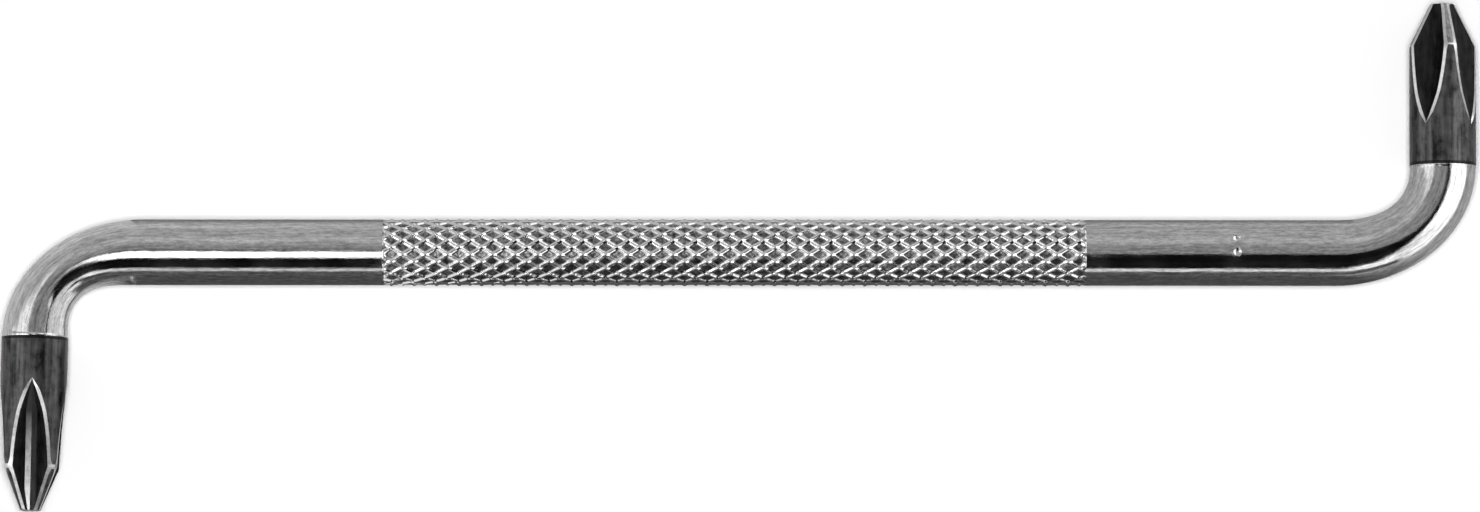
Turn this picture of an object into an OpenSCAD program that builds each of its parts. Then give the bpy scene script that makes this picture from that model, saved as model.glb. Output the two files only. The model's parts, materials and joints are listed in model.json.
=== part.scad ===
// Offset screwdriver: a round steel bar with a rolled grip and a cross point on a bent leg
// at each end. It lies flat: the bar runs along X, the left leg looks along -Y and the right
// leg along +Y. The origin is under the middle of the bar, on the surface that it rests on.

/* [Bar] */
// Distance between the two corners, where the leg axes cross the bar's axis
corner_span = 128.6; // [112:0.1:190]
// Diameter of the plated bar
bar_d = 6; // [5:0.1:8]
// Length of both bends along the bar, on its axis
bend_run = 9.9; // [6:0.1:14]
// Length of both bends across the bar, on its axis
bend_rise = 8; // [6:0.1:12]

/* [Left leg] */
// Angle that the left bend turns through
left_bend_angle = 88.6; // [75:0.1:105]
// Length of the left leg from its corner to its blunt end
left_reach = 23.7; // [21:0.1:40]
// How far the inner side of the left bend is drawn in by the bending
left_draw_in = 0.8; // [0:0.05:1.2]
// Turn of the left point's wings from the flat of the tool
left_wing_turn = 45.4; // [0:0.1:90]
// Length of the left point's flutes before they run out
left_flute_run = 4.7; // [3:0.1:6]

/* [Right leg] */
// Angle that the right bend turns through
right_bend_angle = 90; // [75:0.1:105]
// Length of the right leg from its corner to its blunt end
right_reach = 22.9; // [21:0.1:40]
// How far the inner side of the right bend is drawn in by the bending
right_draw_in = 0.35; // [0:0.05:1.2]
// Turn of the right point's wings from the flat of the tool
right_wing_turn = 12; // [0:0.1:90]
// Length of the right point's flutes before they run out
right_flute_run = 3.7; // [3:0.1:6]

/* [Grip] */
// Length of the rolled grip
grip_length = 64.3; // [30:0.1:80]
// How far the middle of the grip lies from the middle of the bar
grip_offset = -0.55; // [-6:0.05:6]
// How far the grip's ridges stand proud of the bar
ridge_rise = 0.1; // [0.05:0.01:0.4]
// Depth of the grip's diamond pits below its ridges
pit_depth = 0.3; // [0.1:0.05:0.6]
// Length of one diamond along the bar
diamond_pitch = 2.06; // [1.6:0.02:4]
// Number of diamonds round the bar
diamond_count = 14; // [10:1:24]

/* [Cross point] */
// How far the black end that carries the point stands proud of the bar
tip_step = 0.05; // [0:0.01:0.05]
// Diameter of the blunt end
blunt_d = 2.2; // [1.8:0.05:3]
// Angle between the point's cone and its axis
cone_angle = 26.5; // [20:0.5:35]
// Distance from the point's axis to the floor of a flute at the blunt end
flute_floor = 0.83; // [0.6:0.01:1]
// Angle at which a flute's floor rises from the point's axis
flute_rise = 5.2; // [4:0.1:8]
// Width of a flute's two-sided floor
flute_floor_w = 1; // [0.8:0.05:1.4]
// Angle between the two sides of a flute's floor
flute_floor_angle = 140; // [120:1:160]
// Angle between the two walls of a flute
flute_wall_angle = 92; // [80:1:100]
// Radius of the wheel that grinds a flute
wheel_r = 25; // [15:0.5:30]

/* [Size mark] */
// Number of punched dots, which tell the size of the point
mark_count = 2; // [0:1:4]
// Distance from the grip to the punched dots
mark_place = 13.8; // [2:0.1:20]
// Distance from one punched dot to the next, round the bar
mark_gap = 1.25; // [0.9:0.05:1.8]
// Diameter of the ball-ended punch that makes a dot
punch_d = 1; // [0.6:0.05:1.4]
// Depth of a punched dot
mark_depth = 0.15; // [0.05:0.01:0.25]
// Turn of the marks round the bar, from its top towards +Y
mark_turn = 9; // [-90:1:90]

/* [Hidden] */

bar_r = bar_d / 2;
ridge_r = bar_r + ridge_rise;
tip_r = bar_r + tip_step;
blunt_r = blunt_d / 2;
grip_left = grip_offset - grip_length / 2;
grip_right = grip_offset + grip_length / 2;
cone_length = (tip_r - blunt_r) / tan(cone_angle);

// Smoothness of the round faces, and the number of rings and sides of a bend
$fn = 96;
bend_rings = 20;
bend_sides = 48;
// How far a cutter runs past the face that it opens
overrun = 1;
// Arc of the grinding wheel that shapes a run-out, and how far it starts ahead of it
wheel_sweep = 40;
wheel_lead = 5;
// How much deeper than the straight flute the wheel cuts where its run-out starts
wheel_dip = 0.01;
// Number of flutes round a point
flute_count = 4;

plated = [0.74, 0.74, 0.76];
rolled = [0.66, 0.66, 0.68];
blackened = [0.2, 0.2, 0.21];

// A bend follows an ellipse. Where on it a bend ends, as an angle, and as a place
function bend_end(angle) = atan2(bend_run * sin(angle), bend_rise * cos(angle));
function on_ellipse(t) = [bend_run * sin(t), bend_rise * (1 - cos(t))];

// Distance from a corner to the end of its bend, along the leg
function leg_setback(angle) = on_ellipse(bend_end(angle)).y / sin(angle);

// Distance from a corner to the start of its bend, along the bar
function bar_setback(angle) =
    on_ellipse(bend_end(angle)).x - leg_setback(angle) * cos(angle);

// The bar's axis lies at the height of the grip's ridges, which it rests on
module on_bar() translate([0, 0, ridge_r]) children();

// The left end is the right end's layout, turned half round
module at_left() on_bar() rotate([0, 0, 180]) children();

// Round bar along X
module bar_along_x(d, from, to)
    translate([from, 0, 0]) rotate([0, 90, 0]) cylinder(d = d, h = to - from);

// Closes a stack of rings that run along a solid, each with the same number of points
function ring_faces(rings, sides) = concat(
    [[for (k = [sides - 1:-1:0]) k]],
    [for (i = [0:rings - 2], k = [0:sides - 1]) let (n = (k + 1) % sides)
        [i * sides + k, i * sides + n, (i + 1) * sides + n]],
    [for (i = [0:rings - 2], k = [0:sides - 1]) let (n = (k + 1) % sides)
        [i * sides + k, (i + 1) * sides + n, (i + 1) * sides + k]],
    [[for (k = [0:sides - 1]) (rings - 1) * sides + k]]);

// One ring of a bend, at t on its ellipse. The outer side stands off the axis by the bar's
// radius, and the inner side is drawn in most half-way round.
function bend_ring(t, last, draw_in) =
    let (thick = bar_d - draw_in * pow(sin(180 * t / last), 2),
        slope = [bend_run * cos(t), bend_rise * sin(t)],
        outward = [slope.y, -slope.x] / norm(slope))
    [for (k = [0:bend_sides - 1]) let (a = 360 * k / bend_sides,
        p = on_ellipse(t) + outward * (bar_r - thick / 2 * (1 - cos(a))))
        [p.x, p.y, bar_r * sin(a)]];

// Bend that leaves the bar along +X and turns towards +Y
module bend(angle, draw_in) {
    last = bend_end(angle);
    rings = [for (i = [0:bend_rings - 1]) each
        bend_ring(last * i / (bend_rings - 1), last, draw_in)];
    translate([corner_span / 2 - bar_setback(angle), 0, 0])
        polyhedron(points = rings, faces = ring_faces(bend_rings, bend_sides));
}

// Outline of a flute: height above its floor line, and distance from its middle
function flute_outline() =
    let (side = flute_floor_w / 2,
        floor_h = side / tan(flute_floor_angle / 2),
        top_h = floor_h + 2 * tip_r,
        top_side = side + 2 * tip_r * tan(flute_wall_angle / 2))
    [[0, 0], [floor_h, side], [top_h, top_side], [top_h, -top_side], [floor_h, -side]];

// Straight stretch of a flute and the wheel's run-out behind it, on a point of this length
module flute_cut(length, run)
    translate([flute_floor, 0, length]) rotate([180, -flute_rise, 0]) {
        translate([0, 0, -overrun])
            linear_extrude(height = run + overrun) polygon(flute_outline());
        translate([wheel_r - wheel_dip, 0, run]) rotate([90, 0, 0])
            rotate([0, 0, 180 - wheel_sweep]) rotate_extrude(angle = wheel_sweep + wheel_lead)
                polygon([for (p = flute_outline()) [wheel_r - p.x, p.y]]);
    }

// Cross point along +Z from the end of its bend, with its first wing over +X
module cross_point(length, run) difference() {
    rotate_extrude()
        polygon([[0, 0], [tip_r, 0], [tip_r, length - cone_length], [blunt_r, length],
            [0, length]]);
    for (i = [0:flute_count - 1])
        rotate([0, 0, (i + 0.5) * 360 / flute_count]) flute_cut(length, run);
}

// Puts a point on the end of a bend
module leg_point(angle, reach, wing_turn, run)
    translate([corner_span / 2, 0, 0]) rotate([0, 0, angle])
        translate([leg_setback(angle), 0, 0]) rotate([0, 90, 0]) rotate([0, 0, wing_turn])
            cross_point(reach - leg_setback(angle), run);

module left_tip() color(blackened) at_left()
    leg_point(left_bend_angle, left_reach, left_wing_turn, left_flute_run);

module right_tip() color(blackened) on_bar()
    leg_point(right_bend_angle, right_reach, right_wing_turn, right_flute_run);

module left_bend() color(plated) at_left() bend(left_bend_angle, left_draw_in);

module right_bend() color(plated) on_bar() bend(right_bend_angle, right_draw_in);

module left_shank() color(plated) on_bar()
    bar_along_x(bar_d, bar_setback(left_bend_angle) - corner_span / 2, grip_left);

// The right shank has one punched dot for each step of the point's size
module right_shank() color(plated) on_bar() difference() {
    bar_along_x(bar_d, grip_right, corner_span / 2 - bar_setback(right_bend_angle));
    for (i = [0:1:mark_count - 1])
        rotate([(mark_count - 1 - 2 * i) * mark_gap / bar_d * 180 / PI - mark_turn, 0, 0])
            translate([grip_right + mark_place, 0, bar_r + punch_d / 2 - mark_depth])
                sphere(d = punch_d);
}

// Two sets of ridges cross in a diamond net. The crossings stand proud, the middle of each
// diamond is a pit, and each end of the grip comes down to the bar.
module knurled_grip() {
    rows = 2 * round(grip_length / diamond_pitch);
    sides = 2 * diamond_count;
    pit_r = ridge_r - pit_depth;
    points = [for (i = [0:rows], k = [0:sides - 1])
        let (r = i == 0 || i == rows ? bar_r : (i + k) % 2 == 0 ? ridge_r : pit_r,
            a = 360 * k / sides)
        [grip_left + grip_length * i / rows, r * sin(a), r * cos(a)]];
    faces = concat(
        [[for (k = [sides - 1:-1:0]) k]],
        [for (i = [0:rows - 1], k = [0:sides - 1]) each
            let (n = (k + 1) % sides, a = i * sides + k, b = i * sides + n,
                c = (i + 1) * sides + n, d = (i + 1) * sides + k)
            (i + k) % 2 == 0 ? [[a, b, c], [a, c, d]] : [[a, b, d], [b, c, d]]],
        [[for (k = [0:sides - 1]) rows * sides + k]]);
    color(rolled) on_bar() polyhedron(points = points, faces = faces);
}

left_tip();
left_bend();
left_shank();
knurled_grip();
right_shank();
right_bend();
right_tip();
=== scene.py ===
"""Looks of an offset screwdriver: a plated bar with a rolled grip and a blackened cross point
on a bent leg at each end, in a plain studio seen from above."""
from __future__ import annotations

import json
import logging
import math
from dataclasses import dataclass, field
from enum import Enum, IntEnum
from functools import cached_property
from typing import Any, Callable, Sequence

import bmesh
import bpy
import numpy as np
from bpy.types import ID, Material, Mesh, NodeSocket, NodeTree, Object
from mathutils import Euler, Matrix, Vector


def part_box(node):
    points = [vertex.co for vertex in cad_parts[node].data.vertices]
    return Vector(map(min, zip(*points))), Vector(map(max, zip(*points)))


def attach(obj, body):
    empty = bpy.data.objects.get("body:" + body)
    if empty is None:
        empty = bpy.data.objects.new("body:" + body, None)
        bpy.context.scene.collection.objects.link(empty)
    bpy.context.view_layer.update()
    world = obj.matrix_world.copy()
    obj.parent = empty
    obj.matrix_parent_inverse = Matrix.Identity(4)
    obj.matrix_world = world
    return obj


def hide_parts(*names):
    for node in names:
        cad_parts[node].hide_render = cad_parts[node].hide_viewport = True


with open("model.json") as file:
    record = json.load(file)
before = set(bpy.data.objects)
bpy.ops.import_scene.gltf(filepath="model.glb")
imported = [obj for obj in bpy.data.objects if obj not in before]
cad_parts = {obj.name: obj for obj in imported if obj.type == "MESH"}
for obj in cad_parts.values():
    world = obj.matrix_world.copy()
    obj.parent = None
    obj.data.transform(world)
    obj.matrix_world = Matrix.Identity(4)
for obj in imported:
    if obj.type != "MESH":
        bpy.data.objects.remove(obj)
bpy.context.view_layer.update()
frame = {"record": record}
LOG = logging.getLogger("offset_screwdriver")

MM = 0.001
BODY = "root"
STRAIGHT = "straight"
PIT = "pit"
HALVINGS = 32
WELD = 0.0008 * MM
FRAME_DECIMALS = 5
STEP_DECIMALS = 9
FLUTES = 4
HALF_FLUTE = math.pi / FLUTES
WHITE = (1.0, 1.0, 1.0, 1.0)
Range = tuple[float, float]
Fade = tuple[str, float, float, float]


class Slot(str, Enum):
    """Material slots of the record."""

    PLATED = "plated_bar"
    ROLLED = "rolled_grip"
    BLACK = "black_point"


class Zone(IntEnum):
    """Finished areas of a cross point, in the order of its materials."""

    OUTSIDE = 0
    FLUTE = 1
    GROUND = 2
    CONE = 3
    PALE = 4


@dataclass(frozen=True)
class BarSizes:
    """Driving sizes of the bar, in metres, read from the frame."""

    radius: float
    height: float
    corner: float
    bend_run: float
    bend_rise: float
    grip_left: float
    grip_right: float

    @classmethod
    def from_frame(cls) -> BarSizes:
        """Reads the bar's places from the boxes of its nodes and from the record's mounts.

        Returns:
            The sizes that every piece of the tool shares.
        """
        mount = leg_mount("right_drive")
        shank_lo, shank_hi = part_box("right_shank")
        left_lo, left_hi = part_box("left_shank")
        corner = mount["pos_m"][0]
        return cls(
            radius=round((left_hi.y - left_lo.y) / 2, FRAME_DECIMALS),
            height=mount["pos_m"][2],
            corner=corner,
            bend_run=corner - shank_hi.x,
            bend_rise=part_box("right_bend")[1].y,
            grip_left=left_hi.x,
            grip_right=shank_lo.x,
        )


def leg_mount(name: str) -> dict[str, Any]:
    """Finds a mount of the record by its name."""
    return next(m for m in frame["record"]["mounts"] if m["name"] == name)


@dataclass(frozen=True)
class Grain:
    """Noise on the straightened bar: features to the mm, octaves and share of the fine ones.

    A stretch below 1 draws the features out along the bar, as streaks.
    """

    scale: float
    detail: float = 2.0
    fine: float = 0.5
    stretch: float = 1.0


class NodeSheet:
    """Adds nodes to a node tree and fills their inputs with values or links."""

    def __init__(self, tree: NodeTree) -> None:
        """Starts on a tree."""
        self.tree = tree

    def add(self, kind: str, inputs: dict[Any, Any] | None = None, **settings: Any) -> Any:
        """Adds a node.

        Args:
            kind: Type name of the node.
            inputs: Value or source socket for each input, by name or number.
            settings: Properties of the node itself.

        Returns:
            The new node.
        """
        node = self.tree.nodes.new(kind)
        for key, value in settings.items():
            setattr(node, key, value)
        for key, value in (inputs or {}).items():
            if isinstance(value, NodeSocket):
                self.tree.links.new(value, node.inputs[key])
            else:
                node.inputs[key].default_value = value
        return node

    def math(self, operation: str, *values: Any, clamp: bool = False) -> Any:
        """Adds a math node on numbers or sockets, held between 0 and 1 if clamped."""
        inputs = dict(enumerate(values))
        return self.add("ShaderNodeMath", inputs, operation=operation, use_clamp=clamp).outputs[0]

    def blend(self, one: Any, two: Any, share: float) -> Any:
        """Mixes two values, with this share of the second."""
        return self.math("MULTIPLY_ADD", two, share, self.math("MULTIPLY", one, 1 - share))

    def span(self, value: Any, source: Range, target: Range = (0.0, 1.0)) -> Any:
        """Maps a value from one range to another, held inside the second.

        Args:
            value: Socket to map.
            source: Values that become the ends of the new range.
            target: Ends of the new range.

        Returns:
            The result's socket.
        """
        inputs = {"Value": value, "From Min": source[0], "From Max": source[1],
                  "To Min": target[0], "To Max": target[1]}
        return self.add("ShaderNodeMapRange", inputs).outputs["Result"]

    def attribute(self, name: str, output: str) -> Any:
        """Adds an output of a mesh attribute."""
        return self.add("ShaderNodeAttribute", attribute_name=name).outputs[output]

    def noise(self, grain: Grain) -> Any:
        """Adds a grain on the bar's own coordinates in mm, as a grey value."""
        place = {"Vector": self.attribute(STRAIGHT, "Vector"), "Scale": (1, 1, grain.stretch)}
        return self.add("ShaderNodeTexNoise", {
            "Vector": self.add("ShaderNodeMapping", place).outputs["Vector"],
            "Scale": grain.scale, "Detail": grain.detail, "Roughness": grain.fine}).outputs[0]


def new_material(name: str) -> tuple[Material, NodeSheet]:
    """Starts a material.

    Args:
        name: Name of the material.

    Returns:
        The material and its empty node sheet.
    """
    material = bpy.data.materials.new(name)
    material.use_nodes = True
    material.node_tree.nodes.clear()
    return material, NodeSheet(material.node_tree)


def put(name: str, data: ID) -> Object:
    """Puts a mesh, lamp or camera into the scene.

    Args:
        name: Name of the object.
        data: What the object shows.

    Returns:
        The new object at the origin.
    """
    obj = bpy.data.objects.new(name, data)
    bpy.context.scene.collection.objects.link(obj)
    return obj


@dataclass(frozen=True, kw_only=True)
class Finish:
    """A metal whose grey, roughness and fine relief vary with patches and marks.

    Share is the weight of the marks against the patches. Tones are the values of both between
    which the grey goes from dark to light, and wears those of the patches between which the
    roughness goes from smooth to rough. Least is the least cover of a masked finish, and blue
    the strength of the blue against the other colours.
    """

    name: str
    dark: float
    light: float = 1.0
    blue: float = 1.01
    metal: float = 1.0
    smooth: float
    rough: float
    relief: float = 0.3
    relief_depth: float = 0.02 * MM
    patches: Grain
    marks: Grain | None = None
    share: float = 0.5
    tones: Range
    wears: Range = (0.3, 0.7)
    least: float = 0.0

    def tone(self, sheet: NodeSheet) -> Any:
        """Socket of the tone, from 0, dark, to 1, light."""
        patches, marks = sheet.noise(self.patches), sheet.noise(self.marks)
        return sheet.span(sheet.blend(patches, marks, self.share), self.tones)

    def roughness(self, sheet: NodeSheet) -> Any:
        """Socket of the roughness."""
        return sheet.span(sheet.noise(self.patches), self.wears, (self.smooth, self.rough))

    def height(self, sheet: NodeSheet) -> Any:
        """Socket of the relief's height."""
        return sheet.noise(self.marks or self.patches)

    def cover(self, sheet: NodeSheet, mask: Any) -> Any:
        """Socket of how far a mask covers the metal, broken up by the patches: dirt with painted
        shade in the grip's pits, the pale side of a flute floor.
        """
        patches = sheet.span(sheet.noise(self.patches), self.tones, (self.least, 1.0))
        return sheet.math("MULTIPLY", mask, patches)

    def build(self) -> Material:
        """Builds the material.

        Returns:
            The finished material.
        """
        material, sheet = new_material(self.name)
        grey = sheet.add("ShaderNodeMix", {"Factor": self.tone(sheet)}, data_type="RGBA")
        for key, level in (("A", self.dark), ("B", self.light)):
            grey.inputs[key].default_value = (level, level, level * self.blue, 1)
        inputs = {"Base Color": grey.outputs["Result"], "Metallic": self.metal,
                  "Roughness": self.roughness(sheet)}
        if self.relief:
            bump = sheet.add("ShaderNodeBump", {
                "Strength": self.relief, "Distance": self.relief_depth,
                "Height": self.height(sheet)})
            inputs["Normal"] = bump.outputs["Normal"]
        shader = sheet.add("ShaderNodeBsdfPrincipled", inputs)
        sheet.add("ShaderNodeOutputMaterial", {"Surface": shader.outputs["BSDF"]})
        return material


@dataclass(frozen=True, kw_only=True)
class ChromePlate(Finish):
    """Chrome over a ground bar: mirror bright, with a fine mottle and faint grinding streaks."""

    name: str = "chrome_plate"
    dark: float = 0.5
    smooth: float = 0.04
    rough: float = 0.12
    relief: float = 0.5
    relief_depth: float = 0.014 * MM
    patches: Grain = Grain(4.6, 5.0, 0.75, stretch=0.3)
    marks: Grain = Grain(5.0, stretch=0.07)
    broad: Grain = Grain(0.35)
    share: float = 0.35
    mark_relief: float = 0.5
    tones: Range = (0.38, 0.62)
    wears: Range = (0.35, 0.65)

    def roughness(self, sheet: NodeSheet) -> Any:
        """Socket of the roughness, which varies broadly."""
        return sheet.span(sheet.noise(self.broad), self.wears, (self.smooth, self.rough))

    def height(self, sheet: NodeSheet) -> Any:
        """Socket of the relief's height, from the mottle and the streaks."""
        patches, marks = sheet.noise(self.patches), sheet.noise(self.marks)
        return sheet.math("MULTIPLY_ADD", marks, self.mark_relief, patches)


@dataclass(frozen=True, kw_only=True)
class RolledChrome(Finish):
    """Chrome over rolled knurling: bright on the ridges, duller in the pits and darker there, from
    dirt with painted shade.
    """

    name: str = "rolled_chrome"
    dark: float = 0.06
    smooth: float = 0.05
    rough: float = 0.24
    patches: Grain = Grain(3.2, 4.0, 0.65)
    tones: Range = (0.3, 0.6)
    least: float = 0.4
    dirt_and_shade: Range = (0.85, 1.0)
    dull: Range = (0.7, 1.0)

    def tone(self, sheet: NodeSheet) -> Any:
        """Socket of the tone, which dirt and painted shade take down in the pits."""
        # The pits' depth darkens the colour: dirt, with painted shade in the hollows
        pit_dirt_and_shade = self.cover(sheet, sheet.span(sheet.attribute(PIT, "Fac"), self.dirt_and_shade))
        return sheet.math("SUBTRACT", 1.0, pit_dirt_and_shade)

    def roughness(self, sheet: NodeSheet) -> Any:
        """Socket of the roughness, which rises in the pits."""
        return sheet.span(sheet.attribute(PIT, "Fac"), self.dull, (self.smooth, self.rough))


@dataclass(frozen=True, kw_only=True)
class BlackOxide(Finish):
    """Blackened steel: dark, half matt, with streaks and blotches of thinner black."""

    name: str = "black_oxide"
    dark: float = 0.012
    light: float = 0.15
    metal: float = 0.8
    smooth: float = 0.24
    rough: float = 0.42
    relief: float = 0.25
    patches: Grain = Grain(0.9, 4.0, 0.6)
    marks: Grain = Grain(1.7, 3.0, 0.6, stretch=0.12)
    skin: Grain = Grain(9.0)
    share: float = 0.6
    tones: Range = (0.38, 0.64)

    def height(self, sheet: NodeSheet) -> Any:
        """Socket of the relief's height, from a grain of its own."""
        return sheet.noise(self.skin)


@dataclass(frozen=True, kw_only=True)
class GroundSteel(Finish):
    """Bare steel where the grinding cut through the black, with fine scratches."""

    name: str = "ground_steel"
    dark: float = 0.72
    smooth: float = 0.3
    rough: float = 0.42
    patches: Grain = Grain(1.6, 3.0)
    marks: Grain = Grain(6.0, 3.0, 0.6, stretch=0.6)
    tones: Range = (0.36, 0.62)


@dataclass(frozen=True, kw_only=True)
class PaleFloor(Finish):
    """Floor of a flute that is pale, most of all near the blunt end."""

    name: str = "worn_floor"
    dark: float = 0.03
    metal: float = 0.25
    smooth: float = 0.42
    rough: float = 0.52
    relief: float = 0.0
    patches: Grain = Grain(3.0, 3.0, 0.6, stretch=0.5)
    tones: Range = (0.3, 0.6)
    least: float = 0.55
    reach: Range = (1.0, 9.0)

    def tone(self, sheet: NodeSheet) -> Any:
        """Socket of the tone, which fades away from the blunt end."""
        place = sheet.add("ShaderNodeSeparateXYZ", {0: sheet.attribute(STRAIGHT, "Vector")})
        return self.cover(sheet, sheet.span(place.outputs["Z"], self.reach, (1.0, 0.0)))


def ring_faces(rings: int, sides: int, closed: bool = False) -> list[tuple[int, ...]]:
    """Joins neighbouring rings with quads.

    Args:
        rings: Number of rings.
        sides: Number of points of each ring.
        closed: Whether the first and the last ring get a face.

    Returns:
        The faces, ring by ring.
    """
    step = [(k, (k + 1) % sides) for k in range(sides)]
    faces = [(i * sides + a, i * sides + b, (i + 1) * sides + b, (i + 1) * sides + a)
             for i in range(rings - 1) for a, b in step]
    if closed:
        last = (rings - 1) * sides
        faces += [tuple(range(sides)), tuple(range(last, last + sides))]
    return faces


def round_angles(sides: int) -> np.ndarray:
    """Angles of evenly spread points round the bar, as one row."""
    return (np.arange(sides) * 2 * math.pi / sides)[None, :]


def steps(*stretches: tuple[float, float, int]) -> np.ndarray:
    """Joins stretches, each with a start, an end and a count, into one rising row of places."""
    rows = [np.linspace(a, b, n + 1) for a, b, n in stretches]
    return np.unique(np.round(np.concatenate(rows), STEP_DECIMALS))


def halve(low: Any, high: Any, goes_on: Callable[[Any], Any]) -> Any:
    """Finds where a condition ends between two values, by halving.

    Args:
        low: Value or values at which the condition holds.
        high: Value or values at which it doesn't.
        goes_on: Tells whether it holds at a value.

    Returns:
        The value or values where it ends.
    """
    for _ in range(HALVINGS):
        middle = (low + high) / 2
        holds = goes_on(middle)
        low, high = np.where(holds, middle, low), np.where(holds, high, middle)
    return (low + high) / 2


@dataclass
class Piece:
    """A visible piece of the tool that stands for one node of the frame."""

    node: str
    slot: Slot
    materials: Sequence[Material]
    bar: BarSizes

    def object_from(self, points: np.ndarray, faces: Sequence[Sequence[int]],
                    straight: np.ndarray, zones: Sequence[int] | None = None,
                    crease: float = 35.0) -> Object:
        """Makes the piece's object, welded and with its faces turned outwards.

        Args:
            points: Places of the vertices.
            faces: Vertex numbers of each face.
            straight: Place of each vertex on the straightened bar, in mm.
            zones: Material number of each face.
            crease: Angle in degrees above which an edge stays sharp.

        Returns:
            The new object at the origin.
        """
        mesh = bpy.data.meshes.new(f"{self.node}_skin")
        mesh.from_pydata(points.tolist(), [], [tuple(f) for f in faces])
        layer = mesh.attributes.new(STRAIGHT, "FLOAT_VECTOR", "POINT")
        layer.data.foreach_set("vector", np.asarray(straight, np.float32).ravel())
        if zones is not None:
            mesh.polygons.foreach_set("material_index", list(zones))
        self.weld(mesh, crease)
        return put(f"{self.node}_skin", mesh)

    def weld(self, mesh: Mesh, crease: float) -> None:
        """Joins doubled points, turns the faces outwards and sets the sharp edges.

        Args:
            mesh: Mesh to mend.
            crease: Angle in degrees above which an edge stays sharp.
        """
        bm = bmesh.new()
        bm.from_mesh(mesh)
        bmesh.ops.remove_doubles(bm, verts=bm.verts, dist=WELD)
        bmesh.ops.dissolve_degenerate(bm, edges=bm.edges, dist=WELD / 2)
        bmesh.ops.recalc_face_normals(bm, faces=bm.faces)
        for face in bm.faces:
            face.smooth = True
        limit = math.radians(crease)
        for edge in bm.edges:
            if len(edge.link_faces) != 2:
                continue
            one, two = edge.link_faces
            if one.material_index != two.material_index or edge.calc_face_angle(0) > limit:
                edge.smooth = False
        bm.to_mesh(mesh)
        bm.free()

    def dress(self, obj: Object) -> Object:
        """Gives the object its materials and ties it to the frame.

        Args:
            obj: The piece's object.

        Returns:
            The same object.
        """
        if not obj.data.materials:
            for material in self.materials:
                obj.data.materials.append(material)
        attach(obj, BODY)
        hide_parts(self.node)
        LOG.info("%s stands for %s: %d faces", obj.name, self.node, len(obj.data.polygons))
        return obj


@dataclass(frozen=True)
class PunchedDots:
    """Row of punched dots round the bar that tells the size of the point, in metres."""

    count: int = 2
    place: float = 13.8 * MM
    gap: float = 1.25 * MM
    punch_radius: float = 0.5 * MM
    depth: float = 0.15 * MM
    rim: float = 0.012 * MM
    rim_width: float = 0.14 * MM
    turn: float = math.radians(9)

    def angles(self, radius: float) -> list[float]:
        """Places of the dots round the bar, from its top towards +Y."""
        return [self.turn - (self.count - 1 - 2 * i) * self.gap / (2 * radius)
                for i in range(self.count)]

    def sink(self, radius: float, along: np.ndarray, angle: np.ndarray) -> np.ndarray:
        """Works out the bar's radius with the dots in it.

        Args:
            radius: Radius of the plain bar.
            along: Distance of each point from the row of dots, along the bar.
            angle: Angle of each point from the bar's top towards +Y.

        Returns:
            The radius at each point.
        """
        result = np.full(np.broadcast(along, angle).shape, radius)
        edge = math.sqrt(self.punch_radius ** 2 - (self.punch_radius - self.depth) ** 2)
        for centre in self.angles(radius):
            turn = angle - centre
            across = np.hypot(along, radius * np.sin(turn)) + 0 * result
            inside = (across < self.punch_radius) & (np.cos(turn) > 0)
            reach = np.sqrt(np.maximum(self.punch_radius ** 2 - across ** 2, 0))
            floor = radius + self.punch_radius - self.depth - reach
            burr = self.rim * np.exp(-((across - edge) / self.rim_width) ** 2)
            result = np.where(np.cos(turn) > 0, result + burr, result)
            result = np.where(inside, np.minimum(result, floor / np.cos(turn)), result)
        return result


@dataclass
class Shank(Piece):
    """Plain stretch of the plated bar between a bend and the grip."""

    start: float
    end: float
    dots: PunchedDots | None = None
    sides: int = 256
    rows: int = 30
    dot_rows: int = 44
    dot_reach: float = 0.9 * MM

    def build(self) -> Object:
        """Builds the stretch.

        Returns:
            The dressed object.
        """
        stretches = [(self.start, self.end, self.rows)]
        if self.dots:
            middle = self.start + self.dots.place
            stretches.append((middle - self.dot_reach, middle + self.dot_reach, self.dot_rows))
        x, a = steps(*stretches)[:, None], round_angles(self.sides)
        radius = self.bar.radius + 0 * x * a
        if self.dots:
            radius = self.dots.sink(self.bar.radius, x - middle, a)
        y, z = radius * np.sin(a), radius * np.cos(a)
        x = x + 0 * a
        points = np.stack([x, y, z + self.bar.height], -1).reshape(-1, 3)
        straight = np.stack([y, z, x], -1).reshape(-1, 3) / MM
        faces = ring_faces(len(x), self.sides, closed=True)
        return self.dress(self.object_from(points, faces, straight))


@dataclass(frozen=True)
class Leg:
    """Layout of one leg in the shared frame: which way it looks and where it ends."""

    mount: str
    turned: bool

    @property
    def end(self) -> Vector:
        """Middle of the blunt end."""
        return Vector(leg_mount(self.mount)["pos_m"])

    @property
    def axis(self) -> Vector:
        """Direction from the bend to the blunt end."""
        return Vector(leg_mount(self.mount)["axis"]).normalized()

    @property
    def half_turn(self) -> Matrix:
        """Turn about Z that brings the layout of the right end to this end."""
        return Matrix.Rotation(math.pi if self.turned else 0.0, 3, "Z")

    @property
    def angle(self) -> float:
        """Angle that the bend turns through, in radians."""
        axis = self.half_turn @ self.axis
        return math.atan2(axis.y, axis.x)


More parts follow.
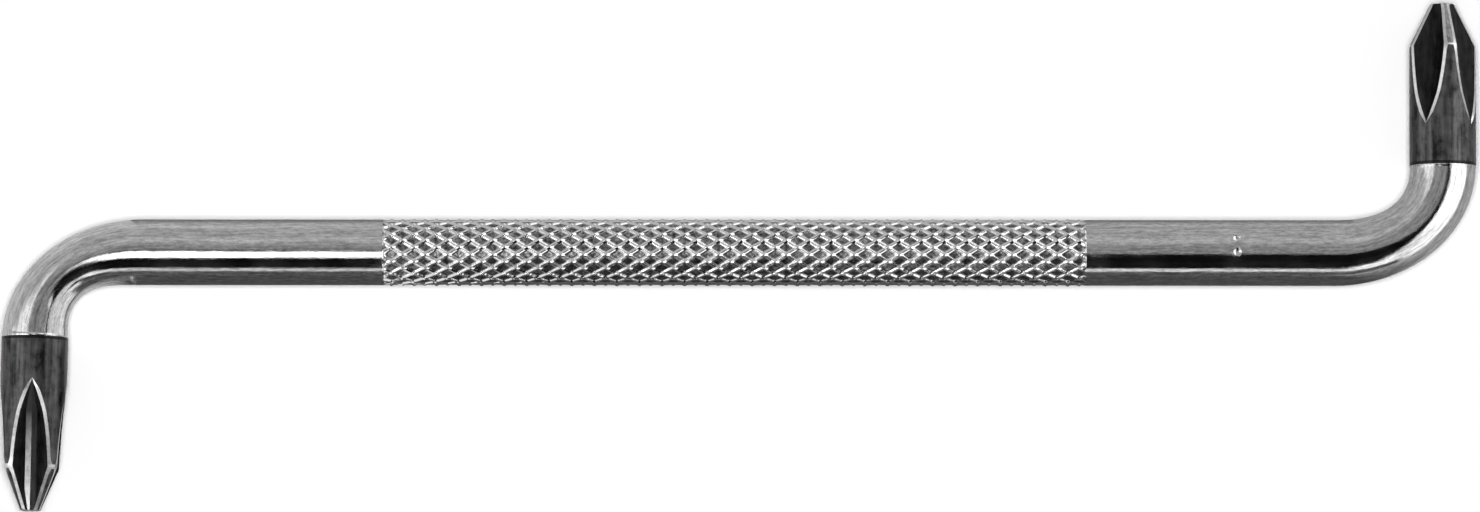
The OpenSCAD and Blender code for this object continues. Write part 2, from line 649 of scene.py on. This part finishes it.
@dataclass
class Bend(Piece):
    """Elliptical bend from the bar into a leg, drawn in a little on its inner side."""

    leg: Leg
    draw_in: float
    bead: float = 0.05 * MM
    bead_reach: float = 0.32 * MM
    bead_turn: float = 0.75 * math.pi
    bead_rings: int = 12
    rings: int = 140
    sides: int = 144

    @property
    def last(self) -> float:
        """Where the bend ends on its ellipse, as an angle."""
        angle = self.leg.angle
        return math.atan2(self.bar.bend_run * math.sin(angle),
                          self.bar.bend_rise * math.cos(angle))

    def on_ellipse(self, t: Any) -> tuple[Any, Any]:
        """Place on the bend's axis at an angle, from the start of the bend."""
        return self.bar.bend_run * np.sin(t), self.bar.bend_rise * (1 - np.cos(t))

    @property
    def leg_setback(self) -> float:
        """Distance from the corner to the end of the bend, along the leg."""
        return float(self.on_ellipse(self.last)[1]) / math.sin(self.leg.angle)

    @property
    def bar_setback(self) -> float:
        """Distance from the corner to the start of the bend, along the bar."""
        x = float(self.on_ellipse(self.last)[0])
        return x - self.leg_setback * math.cos(self.leg.angle)

    def bead_height(self, t: np.ndarray, edge: float) -> np.ndarray:
        """Shape of the bead that the plating builds up along its end, from 0 to 1.

        Args:
            t: Places on the ellipse.
            edge: Where the bead starts.

        Returns:
            The bead's height at each place.
        """
        share = np.clip((t - edge) / (self.last - edge), 0, 1)
        return np.sin(share * self.bead_turn) ** 2

    def build(self) -> Object:
        """Builds the bend.

        Returns:
            The dressed object.
        """
        edge = self.last - self.bead_reach / self.bar.bend_run
        t = steps((0, edge, self.rings), (edge, self.last, self.bead_rings))[:, None]
        a = round_angles(self.sides)
        swell = 1 + self.bead / self.bar.radius * self.bead_height(t, edge)
        thick = 2 * self.bar.radius - self.draw_in * np.sin(math.pi * t / self.last) ** 2
        x, y = self.on_ellipse(t)
        slope = np.hypot(self.bar.bend_run * np.cos(t), self.bar.bend_rise * np.sin(t))
        out_x = self.bar.bend_rise * np.sin(t) / slope
        out_y = -self.bar.bend_run * np.cos(t) / slope
        across = self.bar.radius - thick / 2 * (1 - swell * np.cos(a))
        start = self.bar.corner - self.bar_setback
        px, py = start + x + out_x * across, y + out_y * across
        pz = self.bar.radius * swell * np.sin(a)
        points = np.stack([px, py, pz], -1).reshape(-1, 3) @ np.array(self.leg.half_turn).T
        points[:, 2] += self.bar.height
        run = np.concatenate([[0], np.cumsum(np.hypot(np.diff(x[:, 0]), np.diff(y[:, 0])))])
        sign = -1 if self.leg.turned else 1
        straight = np.stack([-sign * across, pz, sign * (start + run[:, None]) + 0 * a], -1)
        faces = ring_faces(len(t), self.sides, closed=True)
        return self.dress(self.object_from(points, faces, straight.reshape(-1, 3) / MM))


@dataclass(frozen=True)
class KnurlSizes:
    """Sizes of the rolled diamond net, in metres.

    Flank is the share of the half-way to the next ridge that a flank takes up, and crest its
    rounding as a share of the flank. Sag tells how far a ridge sinks between two crossings.
    Phase and turn are shares of a diamond.
    """

    rise: float = 0.1 * MM
    pit_depth: float = 0.3 * MM
    pitch: float = 2.062 * MM
    count: int = 14
    crest: float = 0.21
    flank: float = 0.37
    sag: float = 0.82
    run_out: float = 0.35 * MM
    phase: float = -0.3835
    turn: float = -0.1725
    per_pitch: int = 14
    per_diamond: int = 15
    weld: float = 0.001 * MM


@dataclass
class Grip(Piece):
    """Rolled grip: two sets of ridges that cross in a diamond net round the bar."""

    sizes: KnurlSizes = KnurlSizes()

    def tree(self, values: dict[str, Any]) -> NodeTree:
        """Builds the node tree that makes the net.

        Args:
            values: Its named inputs: sizes, counts and the finish.

        Returns:
            The tree.
        """
        tree = bpy.data.node_groups.new("diamond_net", "GeometryNodeTree")
        face = tree.interface
        face.new_socket("Geometry", in_out="OUTPUT", socket_type="NodeSocketGeometry")
        face.new_socket("Geometry", in_out="INPUT", socket_type="NodeSocketGeometry")
        kinds = {float: "Float", int: "Int", Material: "Material"}
        for name, value in values.items():
            face.new_socket(name, in_out="INPUT", socket_type=f"NodeSocket{kinds[type(value)]}")
        sheet = NodeSheet(tree)
        given = sheet.add("NodeGroupInput").outputs
        grid = sheet.add("GeometryNodeMeshGrid", {
            "Size X": given["Length"], "Size Y": 2 * math.pi, "Vertices X": given["Rows"],
            "Vertices Y": given["Columns"]})
        place = sheet.add("ShaderNodeSeparateXYZ",
                          {0: sheet.add("GeometryNodeInputPosition").outputs[0]})
        x = sheet.math("ADD", place.outputs["X"], sheet.math("MULTIPLY", given["Length"], 0.5))
        angle = place.outputs["Y"]
        depth = self.net_depth(sheet, given, x, angle)
        ends = sheet.math("MINIMUM", x, sheet.math("SUBTRACT", given["Length"], x))
        blend = sheet.math("DIVIDE", ends, given["Run Out"], clamp=True)
        proud = sheet.math("SUBTRACT", given["Rise"],
                           sheet.math("MULTIPLY", depth, given["Pit Depth"]))
        radius = sheet.math("MULTIPLY_ADD", proud, blend, given["Bar Radius"])
        spot = sheet.add("ShaderNodeCombineXYZ", {
            "X": sheet.math("ADD", x, given["Start"]),
            "Y": sheet.math("MULTIPLY", radius, sheet.math("SINE", angle)),
            "Z": sheet.math("MULTIPLY_ADD", radius, sheet.math("COSINE", angle),
                            given["Height"])})
        shape = grid.outputs["Mesh"]
        for kind, inputs in (
                ("GeometryNodeStoreNamedAttribute", {"Name": PIT, "Value": depth}),
                ("GeometryNodeSetPosition", {"Position": spot.outputs["Vector"]}),
                ("GeometryNodeMergeByDistance", {"Distance": self.sizes.weld}),
                ("GeometryNodeSetShadeSmooth", {}),
                ("GeometryNodeRealizeInstances", {}),
                ("GeometryNodeSetMaterial", {"Material": given["Finish"]})):
            shape = sheet.add(kind, {"Geometry": shape, **inputs}).outputs["Geometry"]
        sheet.add("NodeGroupOutput", {"Geometry": shape})
        return tree

    def net_depth(self, sheet: NodeSheet, given: Any, x: Any, angle: Any) -> Any:
        """Works out how deep a point of the net lies, from 0 on a crossing to 1 in a pit.

        Each set of ridges has rounded crests and straight flanks down to its floor.

        Args:
            sheet: Node sheet of the tree.
            given: The tree's inputs.
            x: Distance from the start of the grip.
            angle: Angle round the bar.

        Returns:
            The depth's socket.
        """
        along = sheet.math("ADD", sheet.math("DIVIDE", x, given["Pitch"]), given["Phase"])
        share = sheet.math("DIVIDE", given["Count"], 2 * math.pi)
        around = sheet.math("MULTIPLY_ADD", angle, share, given["Turn"])
        crest = given["Crest"]
        round_off = sheet.math("MULTIPLY", crest, crest)
        top = sheet.math("SUBTRACT", sheet.math("SQRT", sheet.math("ADD", round_off, 1.0)), crest)
        depths = []
        # A ridge value of 0 lies on a crest, and 0.5 half-way to the next one
        for sign in ("ADD", "SUBTRACT"):
            ridge = sheet.math("PINGPONG", sheet.math(sign, along, around), 0.5)
            lower = sheet.math("DIVIDE", sheet.math("MULTIPLY", ridge, 2.0), given["Flank"],
                               clamp=True)
            curve = sheet.math("SQRT", sheet.math("MULTIPLY_ADD", lower, lower, round_off))
            depths.append(sheet.math("DIVIDE", sheet.math("SUBTRACT", curve, crest), top))
        both, least = (sheet.math(kind, *depths) for kind in ("ADD", "MINIMUM"))
        sagging = sheet.math("MULTIPLY", both, 0.5 * self.sizes.sag)
        return sheet.math("MULTIPLY_ADD", least, 1 - self.sizes.sag, sagging)

    def build(self) -> Object:
        """Builds the grip through its node tree and closes its ends.

        Returns:
            The dressed object.
        """
        sizes, length = self.sizes, self.bar.grip_right - self.bar.grip_left
        values = {
            "Length": length, "Start": self.bar.grip_left, "Height": self.bar.height,
            "Bar Radius": self.bar.radius, "Rise": sizes.rise, "Pit Depth": sizes.pit_depth,
            "Pitch": sizes.pitch, "Count": float(sizes.count), "Crest": sizes.crest,
            "Flank": sizes.flank, "Run Out": sizes.run_out, "Phase": sizes.phase,
            "Turn": sizes.turn, "Rows": round(length / sizes.pitch * sizes.per_pitch) + 1,
            "Columns": sizes.count * sizes.per_diamond + 1, "Finish": self.materials[0]}
        seed = put("grip_seed", bpy.data.meshes.new("grip_seed"))
        modifier = seed.modifiers.new("net", "NODES")
        tree = modifier.node_group = self.tree(values)
        for item in tree.interface.items_tree:
            if item.in_out == "INPUT" and item.name in values:
                modifier[item.identifier] = values[item.name]
        seed.update_tag()
        graph = bpy.context.evaluated_depsgraph_get()
        mesh = bpy.data.meshes.new_from_object(seed.evaluated_get(graph))
        mesh.name = f"{self.node}_skin"
        bpy.data.objects.remove(seed)
        self.close_ends(mesh)
        places = np.empty(len(mesh.vertices) * 3, np.float32)
        mesh.vertices.foreach_get("co", places)
        places = places.reshape(-1, 3)
        straight = np.stack([places[:, 1], places[:, 2] - self.bar.height, places[:, 0]], -1)
        layer = mesh.attributes.new(STRAIGHT, "FLOAT_VECTOR", "POINT")
        layer.data.foreach_set("vector", (straight / MM).astype(np.float32).ravel())
        return self.dress(put(f"{self.node}_skin", mesh))

    def close_ends(self, mesh: Mesh) -> None:
        """Closes both ends of the net and turns its faces outwards.

        Args:
            mesh: Mesh to mend.
        """
        bm = bmesh.new()
        bm.from_mesh(mesh)
        open_edges = [e for e in bm.edges if e.is_boundary]
        for face in bmesh.ops.holes_fill(bm, edges=open_edges, sides=0)["faces"]:
            face.smooth = False
        bmesh.ops.recalc_face_normals(bm, faces=bm.faces)
        bm.to_mesh(mesh)
        bm.free()


@dataclass(frozen=True)
class PointSizes:
    """Sizes of a cross point, in metres and radians.

    The shares give the least place of a flute's wall end and the greatest of its floor's edge.
    Land is half the angle that always stays between two ground edges.
    """

    radius: float = 3.05 * MM
    blunt_radius: float = 1.1 * MM
    cone: float = math.radians(26.5)
    floor: float = 0.83 * MM
    rise: float = math.radians(5.2)
    floor_half: float = 0.5 * MM
    narrowing: float = 3 * MM
    floor_slope: float = math.radians(70)
    wall_slope: float = math.radians(46)
    wheel: float = 25 * MM
    run: float = 4.7 * MM
    wing_turn: float = math.radians(45.4)
    ground_in: float = 0.09 * MM
    ground_out: float = 0.25 * MM
    shoulder: float = 0.2 * MM
    shoulder_reach: float = 0.45 * MM
    end_round: float = 0.12 * MM
    back_round: float = 0.05 * MM
    back_band: float = 0.28 * MM
    run_out: float = 1 * MM
    longest: float = 20 * MM
    wall_share: float = 0.55
    knee_share: float = 0.5
    ground_taper: float = 0.5 * MM
    land: float = 0.03
    worn_floor: bool = False

    @property
    def cone_length(self) -> float:
        """Length of the cone."""
        return (self.radius - self.blunt_radius) / math.tan(self.cone)

    def outside(self, s: float) -> float:
        """Radius of the point without its flutes, at a distance from the blunt end."""
        return min(self.radius, self.blunt_radius + s * math.tan(self.cone))

    def outline(self, y: np.ndarray, s: float) -> np.ndarray:
        """Height of a flute's surface above its floor line, at a distance from its middle.

        The floor narrows over the run-out, which makes the arch pointed.

        Args:
            y: Distances from the flute's middle.
            s: Distance from the blunt end.

        Returns:
            The heights.
        """
        y = np.abs(y)
        half = self.floor_half * min(1.0, max(0.0, (self.apex - s) / self.narrowing))
        knee = half / math.tan(self.floor_slope)
        wall = knee + (y - half) / math.tan(self.wall_slope)
        return np.where(y < half, y / math.tan(self.floor_slope), wall)

    def depth(self, s: float, x: np.ndarray) -> np.ndarray:
        """Height above the flute's floor line at a distance from the blunt end.

        Args:
            s: Distance from the blunt end.
            x: Distances from the axis towards the flute.

        Returns:
            The heights, negative inside the steel.
        """
        h = (x - self.floor) * math.cos(self.rise) - s * math.sin(self.rise)
        length = (x - self.floor) * math.sin(self.rise) + s * math.cos(self.rise)
        beyond = self.wheel - np.hypot(h - self.wheel, length - self.run)
        return np.where(length > self.run, beyond, h)

    def surface(self, s: float, y: np.ndarray) -> np.ndarray:
        """Distance of the flute's surface from the axis.

        Args:
            s: Distance from the blunt end.
            y: Distances from the flute's middle.

        Returns:
            The distances, by halving.
        """
        outline = self.outline(y, s)
        return halve(np.zeros_like(y), np.full_like(y, 2 * self.radius),
                     lambda x: self.depth(s, x) < outline)

    def half_width(self, s: float) -> float:
        """Half the width of a flute where it leaves the outside, 0 beyond its run-out.

        Args:
            s: Distance from the blunt end.

        Returns:
            The half width.
        """
        radius = self.outside(s)
        if self.depth(s, np.array([radius]))[0] <= 0:
            return 0.0

        def inside(y: float) -> bool:
            """Whether the flute's surface still lies inside the point at this distance."""
            return math.hypot(self.surface(s, np.array([y]))[0], y) < radius

        return float(halve(0.0, radius * math.sin(HALF_FLUTE), inside))

    @cached_property
    def apex(self) -> float:
        """Distance from the blunt end at which a flute runs out."""
        radius = np.array([self.radius])
        return float(halve(self.cone_length, self.longest,
                           lambda s: self.depth(s, radius)[0] > 0))


@dataclass
class CrossPoint(Piece):
    """Black end of a leg with four flutes, ground bright along their edges."""

    leg: Leg
    length: float
    sizes: PointSizes
    floor_steps: int = 4
    wall_steps: int = 10
    outside_steps: int = 12
    end_rows: int = 5
    cone_rows: int = 34
    shoulder_rows: int = 6
    flute_rows: int = 60
    run_out_rows: int = 26
    round_rows: int = 8
    band_rows: int = 2
    crease: float = 24.0

    def half_ring(self, s: float) -> np.ndarray:
        """Outline of one eighth of the point, from a flute's middle to a wing's middle.

        Args:
            s: Distance from the blunt end.

        Returns:
            Rows of distance towards the flute and distance from its middle.
        """
        sizes = self.sizes
        radius, edge = sizes.outside(s), sizes.half_width(s)
        shoulder = math.exp(-((s - sizes.cone_length) / sizes.shoulder_reach) ** 2)
        ground_out = sizes.ground_out + sizes.shoulder * shoulder
        wall_end = max(edge - sizes.ground_in, edge * sizes.wall_share)
        knee = min(sizes.floor_half, wall_end * sizes.knee_share)
        y = np.concatenate([np.linspace(0, knee, self.floor_steps + 1),
                            np.linspace(knee, wall_end, self.wall_steps + 1)[1:]])
        flute = np.stack([sizes.surface(s, y), y], -1)
        if edge <= 0:
            flute = np.repeat([[radius, 0.0]], len(y), 0)
        start = math.asin(min(edge / radius, 1.0))
        taper = min(1.0, edge / sizes.ground_taper)
        start = min(start + ground_out * taper / radius, HALF_FLUTE - sizes.land)
        turn = np.linspace(start, HALF_FLUTE, self.outside_steps + 1)
        outer = np.stack([radius * np.cos(turn), radius * np.sin(turn)], -1)
        return np.concatenate([flute, outer])

    def places(self) -> np.ndarray:
        """Lists where the outline is taken.

        Returns:
            Rising distances from the blunt end.
        """
        sizes, apex, edge = self.sizes, self.sizes.apex, self.sizes.cone_length
        band, back = self.length - sizes.back_band, self.length - sizes.back_round
        return steps((0, sizes.end_round, self.end_rows),
                     (sizes.end_round, edge - sizes.shoulder, self.cone_rows),
                     (edge - sizes.shoulder, edge + sizes.shoulder, self.shoulder_rows),
                     (edge + sizes.shoulder, apex - sizes.run_out, self.flute_rows),
                     (apex - sizes.run_out, apex, self.run_out_rows),
                     (apex, band, self.round_rows), (band, back, self.band_rows),
                     (back, self.length, self.band_rows))

    def shrink(self, s: float) -> float:
        """Works out how far the outline is drawn in by the rounding of either end.

        Args:
            s: Distance from the blunt end.

        Returns:
            The distance that the outline loses.
        """
        sizes = self.sizes
        result = 0.0
        for distance, reach in ((s, sizes.end_round), (self.length - s, sizes.back_round)):
            if distance < reach:
                result += reach - math.sqrt(max(reach ** 2 - (reach - distance) ** 2, 0))
        return result

    def build(self) -> Object:
        """Builds the point ring by ring.

        Returns:
            The dressed object.
        """
        places = self.places()
        columns = self.columns()
        rings, straight = [], []
        down, side = Vector((0, 0, -1)), Vector((0, 0, 1)).cross(self.leg.axis)
        for s in places:
            half = self.half_ring(s)
            scale = 1 - self.shrink(s) / self.sizes.outside(s)
            loop = np.concatenate([half[::-1] * (1, -1), half[1:-1]]) * scale
            for flute in range(FLUTES):
                turn = self.sizes.wing_turn + (2 * flute + 1) * HALF_FLUTE
                u = loop[:, 0] * math.cos(turn) - loop[:, 1] * math.sin(turn)
                v = loop[:, 0] * math.sin(turn) + loop[:, 1] * math.cos(turn)
                middle = np.array(self.leg.end - self.leg.axis * s)
                rings.append(middle + np.outer(u, down) + np.outer(v, side))
                straight.append(np.stack([u, v, np.full_like(u, s)], -1))
        points, straight = np.concatenate(rings), np.concatenate(straight) / MM
        sides = FLUTES * len(loop)
        faces = ring_faces(len(places), sides)
        zones = [self.zone(columns[k % len(loop)], (places[i] + places[i + 1]) / 2)
                 for i in range(len(places) - 1) for k in range(sides)]
        tip, back = len(points), len(points) + 1
        points = np.vstack([points, self.leg.end, self.leg.end - self.leg.axis * self.length])
        straight = np.vstack([straight, [0, 0, 0], [0, 0, self.length / MM]])
        last = (len(places) - 1) * sides
        faces += [(k, (k + 1) % sides, tip) for k in range(sides)]
        faces += [(last + k, last + (k + 1) % sides, back) for k in range(sides)]
        zones += [Zone.CONE] * sides + [Zone.OUTSIDE] * sides
        return self.dress(self.object_from(points, faces, straight, zones, self.crease))

    def columns(self) -> list[Zone]:
        """Lists the finished areas round one quarter of a ring.

        Returns:
            The area of each face.
        """
        flute = self.floor_steps + self.wall_steps
        half = [Zone.FLUTE] * flute + [Zone.GROUND] + [Zone.OUTSIDE] * self.outside_steps
        pale_side = list(half)
        if self.sizes.worn_floor:
            pale_side[:self.floor_steps] = [Zone.PALE] * self.floor_steps
        return half[::-1] + pale_side

    def zone(self, column: Zone, s: float) -> Zone:
        """Finished area of a face.

        Args:
            column: Area that its place on the ring gives.
            s: Distance of its middle from the blunt end.

        Returns:
            The area, whose number is that of its material.
        """
        sizes = self.sizes
        if column is Zone.OUTSIDE and abs(s - sizes.cone_length) < sizes.shoulder:
            return Zone.GROUND
        if column is Zone.OUTSIDE and s < sizes.cone_length:
            return Zone.CONE
        if s > self.length - sizes.back_band:
            return Zone.FLUTE
        if s > sizes.apex:
            return Zone.OUTSIDE
        return column


@dataclass
class Screwdriver:
    """The whole tool."""

    bar: BarSizes = field(default_factory=BarSizes.from_frame)

    def build(self) -> list[Object]:
        """Builds every piece from left to right.

        Returns:
            The pieces' objects.
        """
        chrome, rolled = ChromePlate().build(), RolledChrome().build()
        point = [BlackOxide().build(),
                 # A darker copy of the black oxide: painted shade in the flutes, which the band at
                 # the back end takes too
                 BlackOxide(name="flute_oxide", dark=0.006, light=0.03).build(),
                 GroundSteel().build(),
                 GroundSteel(name="worn_cone", dark=0.14, light=0.42, smooth=0.34,
                             rough=0.46).build(),
                 PaleFloor().build()]
        black_cone = [*point[:Zone.CONE], point[Zone.OUTSIDE],
                      *point[Zone.PALE:]]
        plated = {"slot": Slot.PLATED, "materials": [chrome], "bar": self.bar}
        left, right = Leg("left_drive", True), Leg("right_drive", False)
        left_bend = Bend("left_bend", leg=left, draw_in=0.8 * MM, **plated)
        right_bend = Bend("right_bend", leg=right, draw_in=0.35 * MM, **plated)
        left_sizes = PointSizes(worn_floor=True)
        right_sizes = PointSizes(run=3.7 * MM, wing_turn=math.radians(12), shoulder=0.08 * MM)
        pieces = [
            CrossPoint("left_tip", Slot.BLACK, black_cone, self.bar, left,
                       self.reach(left) - left_bend.leg_setback, left_sizes),
            left_bend,
            Shank("left_shank", start=left_bend.bar_setback - self.bar.corner,
                  end=self.bar.grip_left, **plated),
            Grip("knurled_grip", Slot.ROLLED, [rolled], self.bar),
            Shank("right_shank", start=self.bar.grip_right,
                  end=self.bar.corner - right_bend.bar_setback, dots=PunchedDots(), **plated),
            right_bend,
            CrossPoint("right_tip", Slot.BLACK, point, self.bar, right,
                       self.reach(right) - right_bend.leg_setback, right_sizes),
        ]
        return [piece.build() for piece in pieces]

    def reach(self, leg: Leg) -> float:
        """Length of a leg from its corner to its blunt end."""
        corner = Vector((-self.bar.corner if leg.turned else self.bar.corner, 0,
                         self.bar.height))
        return (leg.end - corner).length


def flat_sheet(name: str, corners: Sequence[Sequence[float]], material: Material) -> Object:
    """Builds a sheet of the studio.

    Args:
        name: Name of the sheet.
        corners: Its four corners, in order.
        material: What it is made of.

    Returns:
        The sheet's object.
    """
    mesh = bpy.data.meshes.new(name)
    mesh.from_pydata(corners, [], [(0, 1, 2, 3)])
    mesh.materials.append(material)
    sheet = put(name, mesh)
    return sheet


@dataclass(frozen=True)
class Card:
    """A flat card of the studio that only mirror-like surfaces see, in metres.

    A fade gives the axis along which the level changes, where it starts and ends, and the
    level at its end.
    """

    name: str
    low: tuple[float, float, float]
    high: tuple[float, float, float]
    level: float
    fade: Fade | None = None

    def build(self) -> Object:
        """Builds the card, which is flat along the axis where low and high agree most.

        Returns:
            The card's object.
        """
        flat = min(range(3), key=lambda i: abs(self.high[i] - self.low[i]))
        second = max(i for i in range(3) if i != flat)
        corners = []
        for one, two in ((self.low, self.low), (self.high, self.low), (self.high, self.high),
                         (self.low, self.high)):
            corners.append([*one[:second], two[second], *one[second + 1:]])
        card = flat_sheet(self.name, corners, self.material())
        for ray in ("camera", "diffuse", "transmission", "volume_scatter", "shadow"):
            setattr(card, f"visible_{ray}", False)
        return card

    def material(self) -> Material:
        """Builds the material, which shines at the card's level.

        Returns:
            The finished material.
        """
        material, sheet = new_material(self.name)
        strength: Any = self.level
        if self.fade:
            axis, start, end, level = self.fade
            place = sheet.add("ShaderNodeSeparateXYZ", {
                "Vector": sheet.add("ShaderNodeTexCoord").outputs["Object"]})
            strength = sheet.span(place.outputs[axis], (start, end), (self.level, level))
        glow = sheet.add("ShaderNodeEmission", {"Color": WHITE, "Strength": strength})
        sheet.add("ShaderNodeOutputMaterial", {"Surface": glow.outputs["Emission"]})
        return material


@dataclass
class Studio:
    """Pale floor, soft light from above, the cards round the tool and the camera, in metres.

    Pixel is what one pixel of the photograph shows of the tool, and centre the pixel that shows
    the origin. Sight is how far the camera sees.
    """

    height: float
    overhead: float = 0.6
    floor_size: float = 6.0
    floor_colour: float = 0.98
    sky: float = 0.2
    key_power: float = 0.86
    key_size: float = 0.4
    key_distance: float = 1.5
    pixel: float = MM / 10.93
    image: tuple[int, int] = (1480, 512)
    centre: tuple[float, float] = (740.3, 252.7)
    tilt: float = math.radians(5)
    roll: float = math.radians(0.04)
    distance: float = 1.5
    sensor: float = 36.0
    sight: float = 100.0

    def build(self) -> None:
        """Builds the studio."""
        self.floor()
        self.world()
        self.key()
        for card in self.cards():
            card.build()
        self.camera()
        LOG.info("studio built")

    def cards(self) -> list[Card]:
        """Lists the cards that the plating reflects: greys above, black on the near side, and dark
        floor cards that paint the shadow beside the bar.

        Returns:
            The cards.
        """
        top = self.overhead

        def above(name: str, x: Range, y: Range, level: float, fade: Fade | None = None,
                  drop: float = 0.0) -> Card:
            """Card overhead, between two places along X and two along Y."""
            return Card(name, (x[0], y[0], top - drop), (x[1], y[1], top - drop), level, fade)

        return [
            above("card_zenith", (-0.33, 0.38), (-0.09, 0.17), 0.27),
            above("card_far", (-0.33, 0.38), (0.17, 0.45), 0.28, ("Y", 0.17, 0.45, 0.5)),
            above("card_far_low", (-1.5, 0.22), (0.45, 1.5), 0.5, ("Y", 0.45, 0.9, 0.4)),
            above("soft_left", (-1.5, -0.33), (-0.45, 0.02), 1.8),
            above("soft_far", (-1.5, -0.33), (0.02, 0.45), 1.1, ("Y", 0.1, 0.45, 0.5)),
            above("flag_streak", (-0.47, -0.435), (0.045, 0.3), 0.02, ("Y", 0.12, 0.3, 0.4),
                  drop=0.002),
            above("flag_near", (-0.33, 0.22), (-1.15, -0.09), 0.002),
            above("strip_white", (-0.14, 0.01), (-0.255, -0.03), 2.6, ("X", -0.05, -0.02, 0.3),
                  drop=0.002),
            above("strip_dark", (-0.12, -0.042), (-0.03, 0.05), 0.08, drop=0.002),
            above("flag_corner", (0.127, 0.196), (-0.06, 0.4), 0.01, drop=0.35),
            above("flag_low", (0.02, 0.196), (-0.375, -0.06), 0.005, drop=0.35),
            above("flag_bend", (-0.03, 0.005), (-0.12, -0.045), 0.005, drop=0.57),
            Card("wall_left", (-1.5, 0.25, 0.0005), (-1.5, 1.5, top), 0.45),
            Card("wall_near", (-1.6, -2.0, 0.0005), (1.2, -2.0, 0.57), 0.1),
            Card("wall_gap", (-2.0, -2.3, 0.5), (2.0, -2.3, 3.0), 0.6, ("X", -0.2, 0.8, 1.15)),
            Card("wall_far", (-1.5, 1.5, 0.0005), (0.4, 1.5, top), 0.42),
            Card("ground", (-2.0, -2.0, 0.00005), (2.0, 2.0, 0.00005), 0.55,
                 ("X", -0.06, 0.02, 0.38)),
            Card("ground_left", (-0.0585, -0.03, 0.00007), (-0.05, -0.0031, 0.00007), 0.6,
                 ("X", -0.0585, -0.056, 0.08)),
            Card("ground_far_left", (-0.085, -0.9, 0.00007), (-0.05, -0.03, 0.00007), 0.08),
            Card("leg_light", (-0.05572, -0.0088, 0.0003), (-0.0555, -0.0043, 0.0045), 0.8),
            Card("leg_field", (-0.0315, -0.03, 0.0002), (-0.0315, -0.0035, 0.035), 0.7),
            # Dark card along the near side, seen only in the plating: a darker floor there, with
            # the painted shadow of the floor beside the bar
            Card("ground_near", (-0.05, -0.9, 0.00007), (0.075, -0.0031, 0.00007), 0.08,
                 ("X", 0.058, 0.070, 0.35)),
            # Dark card beside the bar on the far side, seen only in the plating: painted shadow,
            # darkest next to the bar and fading outwards
            Card("ground_far", (-0.056, 0.0031, 0.00007), (0.056, 0.02, 0.00007), 0.12,
                 ("Y", 0.0031, 0.012, 0.45)),
            Card("side_right", (0.5, -0.75, 0.0005), (0.5, 0.6, 0.9), 1.5,
                 ("Y", -0.2, -0.75, 0.8)),
        ]

    def floor(self) -> None:
        """Builds the pale floor."""
        half = self.floor_size / 2
        material, sheet = new_material("floor")
        matt = sheet.add("ShaderNodeBsdfDiffuse", {"Color": (self.floor_colour,) * 3 + (1,)})
        sheet.add("ShaderNodeOutputMaterial", {"Surface": matt.outputs["BSDF"]})
        corners = [(-half, -half, 0), (half, -half, 0), (half, half, 0), (-half, half, 0)]
        flat_sheet("floor", corners, material)

    def world(self) -> None:
        """Builds the sky: white to the camera and to mirrors, dimmer as a light."""
        world = bpy.data.worlds.new("sky")
        world.use_nodes = True
        sheet = NodeSheet(world.node_tree)
        sheet.tree.nodes.clear()
        rays = sheet.add("ShaderNodeLightPath").outputs
        seen = sheet.math("MAXIMUM", rays["Is Camera Ray"], rays["Is Glossy Ray"])
        seen = sheet.math("MAXIMUM", seen, rays["Is Transmission Ray"])
        strength = sheet.span(seen, (0.0, 1.0), (self.sky, 1.0))
        sky = sheet.add("ShaderNodeBackground", {"Color": WHITE, "Strength": strength})
        sheet.add("ShaderNodeOutputWorld", {"Surface": sky.outputs["Background"]})
        bpy.context.scene.world = world

    def key(self) -> None:
        """Builds the soft lamp above the camera's side of the tool."""
        lamp = bpy.data.lights.new("key", "AREA")
        lamp.shape = "SQUARE"
        lamp.size = self.key_size
        lamp.energy = self.key_power * (math.pi * self.key_distance) ** 2
        key = put("key", lamp)
        key.location = self.towards(self.key_distance)
        key.rotation_euler = Euler((self.tilt, 0, 0))
        key.visible_camera = False
        key.visible_glossy = False

    def towards(self, distance: float) -> Vector:
        """Works out a place on the line from the tool to the camera.

        Args:
            distance: Distance from the point in the tool's plane that the image's middle shows.

        Returns:
            The place.
        """
        right = (self.image[0] / 2 - self.centre[0]) * self.pixel
        up = (self.centre[1] - self.image[1] / 2) * self.pixel
        way = Vector((0, -math.sin(self.tilt), math.cos(self.tilt)))
        return Vector((right, up / math.cos(self.tilt), self.height)) + way * distance

    def camera(self) -> None:
        """Builds the camera at the photograph's viewing angle."""
        data = bpy.data.cameras.new("camera")
        data.sensor_width = self.sensor
        data.lens = self.sensor * self.distance / (self.image[0] * self.pixel)
        data.clip_end = self.sight
        camera = put("camera", data)
        turn = Euler((self.tilt, 0, 0)).to_matrix() @ Matrix.Rotation(self.roll, 3, "Z")
        camera.rotation_euler = turn.to_euler()
        camera.location = self.towards(self.distance)
        bpy.context.scene.camera = camera


def main() -> None:
    """Builds the tool and its studio."""
    logging.basicConfig(level=logging.INFO, format="%(name)s: %(message)s")
    bpy.context.scene.view_settings.view_transform = "Standard"
    tool = Screwdriver()
    tool.build()
    Studio(tool.bar.height).build()


if __name__ == "__main__":
    main()
